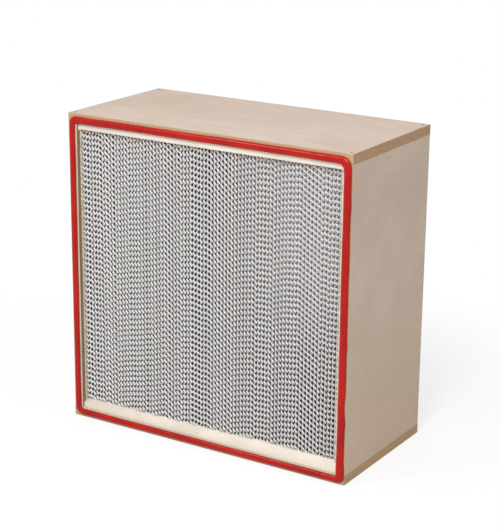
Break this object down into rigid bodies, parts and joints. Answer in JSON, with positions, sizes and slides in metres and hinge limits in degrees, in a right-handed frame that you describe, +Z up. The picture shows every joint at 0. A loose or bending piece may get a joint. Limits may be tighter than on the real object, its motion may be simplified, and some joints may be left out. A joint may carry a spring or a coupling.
{
  "type": "box hepa filter panel",
  "caption": "Square deep-pleat air filter in a wooden frame, with corrugated foil separators, cast end seals and a raised bead gasket round one face.",
  "frame": {"origin": "middle of the base, at the middle of the overall depth with the gasket", "axes": "+X along the width, +Y from the gasket face to the plain face, +Z up"},
  "size_m": [0.61, 0.2985, 0.61],
  "materials": {
    "board": "particle board, unfinished",
    "fastener": "dull zinc plating",
    "gasket": "smooth poured red, slightly glossy",
    "sealant": "cast cream compound",
    "media": "matt glass-fibre paper",
    "foil": "bright corrugated foil"
  },
  "bodies": {
    "root": {"top_board": "board", "bottom_board": "board", "left_board": "board", "right_board": "board", "top_screws": "fastener", "bottom_screws": "fastener", "gasket": "gasket", "media": "media", "front_separators": "foil", "rear_separators": "foil", "top_sealant": "sealant", "bottom_sealant": "sealant", "left_sealant": "sealant", "right_sealant": "sealant"}
  },
  "joints": []
}
